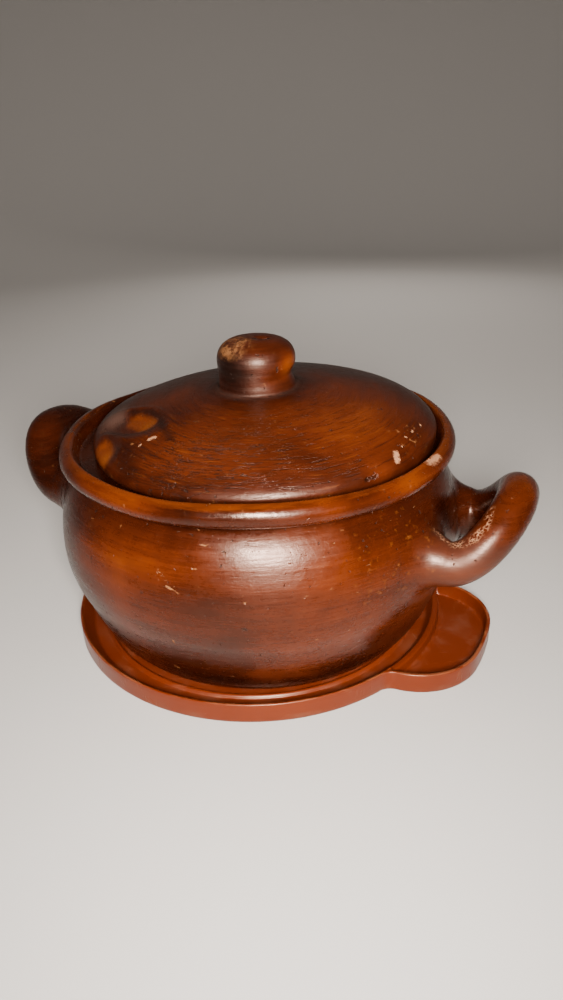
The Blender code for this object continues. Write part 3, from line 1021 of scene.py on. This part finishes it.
def clay(name, patches, about=None):
    """Burnished earthenware: mottled tone, tool streaks, fine grain and pits."""
    g = Graph(name)
    here = g.place
    mottle = g.noise(here, 15.0, 5.0, 0.60, 0.35)
    broad = g.noise(here, 5.5, 2.0, 0.5, 0.2)
    if about is None:
        long_space = g.stretch(here, (13.0, 13.0, 140.0))
        fine_space = g.stretch(here, (48.0, 48.0, 620.0))
    else:
        centred = g.vector("SUBTRACT", here, (about[0] * MM, about[1] * MM, 0.0))
        flat = g.stretch(centred, (1.0, 1.0, 0.0))
        radius = g.vector("LENGTH", flat)
        xyz = g.split(g.vector("NORMALIZE", flat))
        bent = g.fused(g.noise(here, 22.0, 2.0), 0.005, radius)
        long_space = g.join(g.times(bent, 170.0), g.times(xyz[0], 1.5),
                            g.times(xyz[1], 1.5))
        fine_space = g.join(g.times(bent, 1000.0), g.times(xyz[0], 5.0),
                            g.times(xyz[1], 5.0))
    streak = g.noise(long_space, 1.0, 4.0, 0.6, 0.15)
    fine = g.noise(fine_space, 1.0, 3.0, 0.62, 0.25)
    grain = g.noise(here, 700.0, 3.0, 0.62)
    speck = g.noise(here, 240.0, 3.0, 0.6)
    rasp = g.noise(here, 480.0, 3.0, 0.7, 0.3)

    tone = g.fused(mottle, 0.55, g.times(broad, 0.40))
    for pattern, amount in ((streak, 0.20), (fine, 0.16), (grain, 0.08)):
        tone = g.fused(g.minus(pattern, 0.5), amount, tone)
    for centre, size, amount in patches:
        spot = g.blob(here, centre, size, 0.95, mottle, 0.35)
        tone = g.fused(spot, amount, tone)
    colour = g.ramp(tone, [(0.16, NEAR_BLACK), (0.32, DARK), (0.47, BROWN), (0.62, WARM), (0.84, ORANGE)])
    flecks = g.step(speck, 0.68, 0.76)
    colour = g.tint(colour, flecks, 0.30, TAN)
    pits = g.step(g.noise(here, 330.0, 2.0, 0.5), 0.31, 0.25)
    colour = g.tint(colour, pits, 0.75, NEAR_BLACK)
    return g, dict(mottle=mottle, streak=streak, fine=fine, grain=grain, speck=speck, rasp=rasp,
                   pits=pits, space=fine_space, colour=colour)


def finish_clay(g, parts, extra_rough, extra_height, burnish=0.28):
    """Set roughness, bump and gloss of a clay material."""
    rough = burnish
    for pattern, amount in (("mottle", 0.34), ("fine", 0.26), ("speck", 0.20)):
        rough = g.fused(g.minus(parts[pattern], 0.5), amount, rough)
    rough = g.plus(g.fused(parts["pits"], 0.3, rough), extra_rough)
    g.put(g.shader.inputs["Roughness"], g.math("MINIMUM", g.most(rough, 0.22), 0.95))
    height = g.times(parts["streak"], 0.26)
    for pattern, amount in (("fine", 0.17), ("speck", 0.20), ("grain", 0.12), ("pits", -0.6)):
        height = g.fused(parts[pattern], amount, height)
    height = g.plus(height, extra_height)
    g.put(g.shader.inputs["Normal"], g.bump(height, 0.0006))
    g.put(g.shader.inputs["Base Color"], parts["colour"])
    g.shader.inputs["IOR"].default_value = 1.40
    g.shader.inputs["Specular Tint"].default_value = (1.0, 0.70, 0.56, 1.0)
    g.shader.inputs["Specular IOR Level"].default_value = 0.5
    return g.material


# the inner crease of the right handle, in mm
CREASE = [(99.5, -85.0, 97.5), (103.0, -90.5, 95.3), (107.5, -95.3, 94.5), (112.2, -97.8, 97.0),
          (117.3, -98.8, 100.4), (123.0, -96.5, 105.8), (128.3, -88.0, 111.6)]
# the fold over the lid's finger marks, painted dark as shade, in mm
FOLD = [(-80.0, -4.0, 149.0), (-66.0, -14.0, 152.5), (-58.0, -27.0, 152.5), (-55.0, -43.0, 151.0),
        (-50.0, -54.0, 150.0)]
# ovals of painted reflection in the lid's finger marks: start and end of each one's axis and its radius,
# in mm
LID_LIT_OVALS = [((-75.5, -16.5, 148.0), (-65.5, -29.0, 148.0), 7.6),
             ((-94.0, -35.0, 136.5), (-90.0, -46.0, 136.0), 8.0)]
# chips in the lid: start, end and radius, in mm
LID_CHIPS = [((76.7, -71.6, 141.8), (76.5, -75.4, 139.2), 2.3),
             ((-63.0, -50.8, 147.8), (-59.5, -50.2, 149.0), 1.5),
             ((-68.5, -54.0, 145.4), (-67.5, -53.0, 145.8), 0.9),
             ((89.9, -49.0, 145.0), (90.4, -47.6, 145.2), 1.0),
             ((96.9, -38.6, 144.4), (97.0, -37.0, 144.6), 0.9),
             ((84.4, -56.2, 145.0), (85.4, -56.0, 145.0), 0.9),
             ((81.1, -65.5, 142.9), (81.2, -64.8, 143.0), 0.7)]
# light scrape marks on the belly, in mm
SCRAPES = [((-55.5, -114.4, 96.5), (-54.5, -115.6, 91.5)), ((-52.5, -117.0, 92.0), (-46.6, -119.8, 89.0)),
           ((-51.0, -116.6, 54.0), (-48.5, -116.9, 51.5)), ((62.0, -110.0, 84.0), (66.0, -107.0, 85.5)),
           ((20.0, -126.0, 40.0), (26.0, -124.0, 41.0))]


def pot_material(name):
    """Clay of the bowl and its handles, in one continuous pattern."""
    g, parts = clay(name, POT_PATCHES)
    here = g.place
    xyz = g.split(here)
    radius = g.vector("LENGTH", g.stretch(here, (1.0, 1.0, 0.0)))
    speck, mottle = parts["speck"], parts["mottle"]
    colour = parts["colour"]
    # painted shade in the neck groove, and darker towards the foot
    level = g.math("ABSOLUTE", g.minus(xyz[2], 122.6 * MM))
    groove_shade = g.times(g.step(level, 0.0008, 0.0056, 1.0, 0.0),
                    g.step(radius, 113.5 * MM, 118.5 * MM, 1.0, 0.0))
    colour = g.tint(colour, groove_shade, 0.9, NEAR_BLACK)
    foot = g.step(g.fused(mottle, 0.020, xyz[2]), 14.0 * MM, 40.0 * MM, 1.0, 0.0)
    colour = g.tint(colour, foot, 0.75, NEAR_BLACK)
    # lighter crest of the lip: wear, and partly a painted highlight
    crest = g.step(g.fused(parts["fine"], 0.005, xyz[2]), 136.8 * MM, 139.8 * MM)
    colour = g.tint(colour, crest, 0.5, ORANGE)
    # scraped place on the lip
    chip = g.stroke(here, (95.5, -73.5, 136.2), (102.0, -65.0, 135.9), 3.0, 0.8, parts["rasp"], 3.0)
    colour = g.tint(colour, chip, 0.75, PALE)
    # pale crazing along the inner crease of the right handle
    band = g.chain(here, CREASE, 3.4, 0.8)
    craze = g.step(g.cells(g.stretch(here, (520.0, 520.0, 600.0))), 0.17, 0.05)
    craze = g.times(g.times(craze, band), g.step(speck, 0.40, 0.56))
    colour = g.tint(colour, craze, 0.85, PALE)
    # smoky, duller burnish round the front root of the right handle
    dull = g.blob(here, (118.0, -93.0, 84.0), (38.0, 30.0, 24.0), 0.9, mottle, 0.8)
    colour = g.tint(colour, dull, 0.35, GREY_BROWN)
    dull = g.times(dull, g.fused(mottle, 0.30, 0.02))
    # light scrapes and nicks on the belly
    scuff = g.union([g.stroke(here, start, end, 2.4, 0.5) for start, end in SCRAPES])
    lines = g.noise(g.stretch(here, (260.0, 260.0, 420.0)), 1.0, 2.0, 0.55, 0.8)
    scuff = g.times(scuff, g.step(lines, 0.56, 0.62))
    nicks = g.step(g.noise(g.stretch(here, (170.0, 170.0, 420.0)), 1.0, 1.0, 0.5, 0.4), 0.76, 0.80)
    scuff = g.most(scuff, g.times(nicks, 0.6))
    colour = g.tint(colour, scuff, 0.7, TAN)
    # fine crazing of the burnish, at the right of the belly
    zone = g.blob(here, (74.0, -104.0, 92.0), (44.0, 44.0, 34.0), 0.9, mottle, 0.8)
    web = g.step(g.cells(g.stretch(here, (430.0, 430.0, 500.0))), 0.10, 0.0)
    web = g.times(web, g.times(zone, g.step(speck, 0.42, 0.62)))
    colour = g.tint(colour, web, 0.55, DARK)
    flakes = g.times(zone, g.step(speck, 0.58, 0.68))
    colour = g.tint(colour, flakes, 0.30, AMBER)
    parts["colour"] = colour
    wear = g.fused(chip, 0.35, g.fused(scuff, 0.2, dull))
    dent = g.times(g.plus(chip, g.plus(craze, scuff)), -0.6)
    return finish_clay(g, parts, wear, dent)


def lid_material():
    """Clay of the lid, with tool marks round it, fine cracks at the front, worn spots, and painted shade,
    sheen and reflections at its finger marks.
    """
    g, parts = clay("lid_clay", LID_PATCHES, (LID_X, LID_Y))
    here = g.place
    speck, mottle, streak = parts["speck"], parts["mottle"], parts["streak"]
    colour = parts["colour"]
    front = g.blob(here, (-30.0, -78.0, 144.0), (72.0, 44.0, 30.0), 0.75, mottle, 0.8)
    wide_front = g.blob(here, (0.0, -70.0, 146.0), (120.0, 66.0, 40.0), 0.9, mottle, 0.8)
    # dark tool marks
    dashes = g.step(parts["fine"], 0.44, 0.34)
    ink = g.times(dashes, g.fused(wide_front, 0.42, 0.12))
    contour = g.noise(g.stretch(parts["space"], (0.42, 0.7, 0.7)), 1.0, 3.0, 0.6, 0.35)
    thin = g.step(g.math("ABSOLUTE", g.minus(contour, 0.5)), 0.014, 0.004)
    crack = g.times(thin, g.step(g.times(front, mottle), 0.18, 0.42))
    # short slanting cracks
    oblique = g.noise(g.stretch(here, (130.0, 330.0, 100.0)), 1.0, 3.0, 0.6, 0.8)
    slant = g.step(g.math("ABSOLUTE", g.minus(oblique, 0.47)), 0.010, 0.003)
    slant = g.times(slant, g.step(g.times(front, streak), 0.42, 0.52))
    crack = g.most(crack, g.times(slant, 0.9))
    ink = g.most(ink, g.times(crack, 0.85))
    colour = g.mix(ink, colour, NEAR_BLACK)
    # lighter ridges between the tool marks
    ridge = g.times(g.step(parts["fine"], 0.60, 0.70), wide_front)
    colour = g.tint(colour, ridge, 0.30, AMBER)
    # finger marks at the left: painted shade in the fold over them, darker between them, two ovals of
    # painted reflection with a painted highlight at one end, and a painted grey sheen
    between = g.stroke(here, (-79.0, -50.0, 141.0), (-73.0, -70.0, 136.5), 8.0, 0.9, mottle, 0.8)
    colour = g.tint(colour, between, 0.75, DARK)
    # painted shade along the fold
    fold = g.chain(here, FOLD, 4.2, 1.0, speck, 0.8)
    colour = g.tint(colour, fold, 0.70, NEAR_BLACK)
    # painted grey sheen beside the finger marks
    painted_sheen = g.blob(here, (-90.0, 0.0, 143.5), (14.0, 20.0, 9.0), 0.85, streak, 0.8)
    colour = g.tint(colour, painted_sheen, 0.8, GREY_BROWN)
    for start, end, size in LID_LIT_OVALS:
        # an oval of painted reflection
        spot = g.stroke(here, start, end, size, 0.60, speck, 0.6)
        colour = g.tint(colour, spot, 0.72, ORANGE)
        # a painted highlight at the oval's end
        spot = g.stroke(here, end, end + np.array((0.5, 0.0, 0.0)), size * 0.9, 1.0)
        colour = g.tint(colour, spot, 0.45, AMBER)
    # chips and scuffs
    chips = g.union([g.stroke(here, start, end, size, 0.6, parts["rasp"], 2.2)
                     for start, end, size in LID_CHIPS])
    colour = g.tint(colour, chips, 0.75, PALE)
    nick = g.stroke(here, (57.5, -91.5, 135.4), (63.0, -88.4, 135.9), 1.5, 1.0, parts["rasp"], 2.4)
    colour = g.tint(colour, nick, 0.6, NEAR_BLACK)
    scuffs = g.most(g.blob(here, (88.0, -50.0, 144.0), (18.0, 22.0, 12.0), 0.6),
                    g.blob(here, (-72.0, -53.0, 145.0), (12.0, 10.0, 9.0), 0.6))
    scuffs = g.times(scuffs, g.step(speck, 0.60, 0.68))
    colour = g.tint(colour, scuffs, 0.45, TAN)
    parts["colour"] = colour
    worn = g.plus(g.times(chips, 0.35), g.times(ink, 0.25))
    from_knob = g.vector("SUBTRACT", here, (KNOB_X * MM, KNOB_Y * MM, 0.0))
    from_knob = g.vector("LENGTH", g.stretch(from_knob, (1.0, 1.0, 0.0)))
    worn = g.plus(worn, g.step(from_knob, 25.0 * MM, 31.0 * MM, 0.35, 0.0))
    dent = g.plus(g.times(chips, 0.5), g.plus(g.times(ink, 0.6), nick))
    dent = g.fused(fold, 0.8, dent)
    return finish_clay(g, parts, worn, g.times(dent, -1.0), 0.38)


def knob_material():
    """Clay of the knob, rubbed to a rough tan on top, with painted shade at its foot."""
    g, parts = clay("knob_clay", KNOB_PATCHES)
    here = g.place
    worn = g.blob(here, (-11.0, -6.0, 187.5), (15.0, 15.0, 8.0), 0.6, parts["speck"], 0.9)
    patchy = g.times(worn, g.step(g.noise(here, 170.0, 4.0, 0.7), 0.36, 0.58))
    colour = g.mix(g.times(patchy, 0.6), parts["colour"], TAN)
    nick = g.stroke(here, (1.0, -4.0, 191.0), (8.0, -3.0, 191.0), 2.4, 0.6, parts["speck"], 0.9)
    colour = g.mix(nick, colour, NEAR_BLACK)
    # painted shade at the knob's foot, where it meets the lid; the same mask roughens the gloss there
    seam = g.step(g.split(here)[2], 160.0 * MM, 163.6 * MM, 1.0, 0.0)
    colour = g.tint(colour, seam, 0.8, NEAR_BLACK)
    parts["colour"] = colour
    rougher = g.fused(seam, 0.35, g.times(worn, 0.25))
    return finish_clay(g, parts, rougher,
                       g.fused(nick, -2.0, g.times(patchy, 0.5)), 0.42)


def tray_material():
    """Moulded reddish-brown plastic with light scuffs, worn edges that are partly a painted highlight,
    and dust in its corners.
    """
    g = Graph("tray_plastic")
    here = g.place
    height = g.split(here)[2]
    cloud = g.noise(here, 7.0, 3.0, 0.5)
    fine = g.noise(here, 900.0, 2.0, 0.5)
    patch = g.noise(here, 60.0, 4.0, 0.65)
    scuff = g.step(g.noise(g.stretch(here, (40.0, 220.0, 60.0)), 1.0, 3.0, 0.6, 0.8), 0.62, 0.72)
    cross = g.step(g.noise(g.stretch(here, (240.0, 34.0, 60.0)), 1.0, 3.0, 0.6, 0.8), 0.64, 0.74)
    scuff = g.most(scuff, cross)
    colour = g.mix(cloud, (0.060, 0.0068, 0.0008), (0.090, 0.0120, 0.0013))
    colour = g.tint(colour, scuff, 0.10, (0.20, 0.07, 0.03))
    # lighter top edge: wear, and partly a painted highlight
    edge = g.times(g.step(height, 12.3 * MM, 12.85 * MM), g.step(patch, 0.40, 0.62))
    colour = g.tint(colour, edge, 0.35, (0.24, 0.085, 0.035))
    dust = g.times(g.step(height, 5.2 * MM, 3.0 * MM), g.step(patch, 0.42, 0.70))
    colour = g.tint(colour, dust, 0.16, (0.13, 0.065, 0.04))
    g.put(g.shader.inputs["Base Color"], colour)
    rough = g.fused(cloud, 0.14, g.fused(scuff, 0.16, 0.24))
    rough = g.fused(dust, 0.2, rough)
    g.put(g.shader.inputs["Roughness"], rough)
    g.put(g.shader.inputs["Normal"], g.bump(g.fused(fine, 0.12, scuff), 0.00012))
    g.shader.inputs["Specular IOR Level"].default_value = 0.5
    g.shader.inputs["Specular Tint"].default_value = (1.0, 0.66, 0.50, 1.0)
    return g.material


def dress(item, material):
    """Give a piece its material."""
    item.data.materials.clear()
    item.data.materials.append(material)


def main():
    make_camera()
    make_stage()
    bowl = make_bowl()
    right = make_handle("right_handle")
    left = make_handle("left_handle")
    lid = make_lid()
    knob = make_knob()
    tray = make_tray()
    dress(bowl, pot_material("pot_clay"))
    dress(right, pot_material("right_handle_clay"))
    dress(left, pot_material("left_handle_clay"))
    dress(lid, lid_material())
    dress(knob, knob_material())
    dress(tray, tray_material())


main()
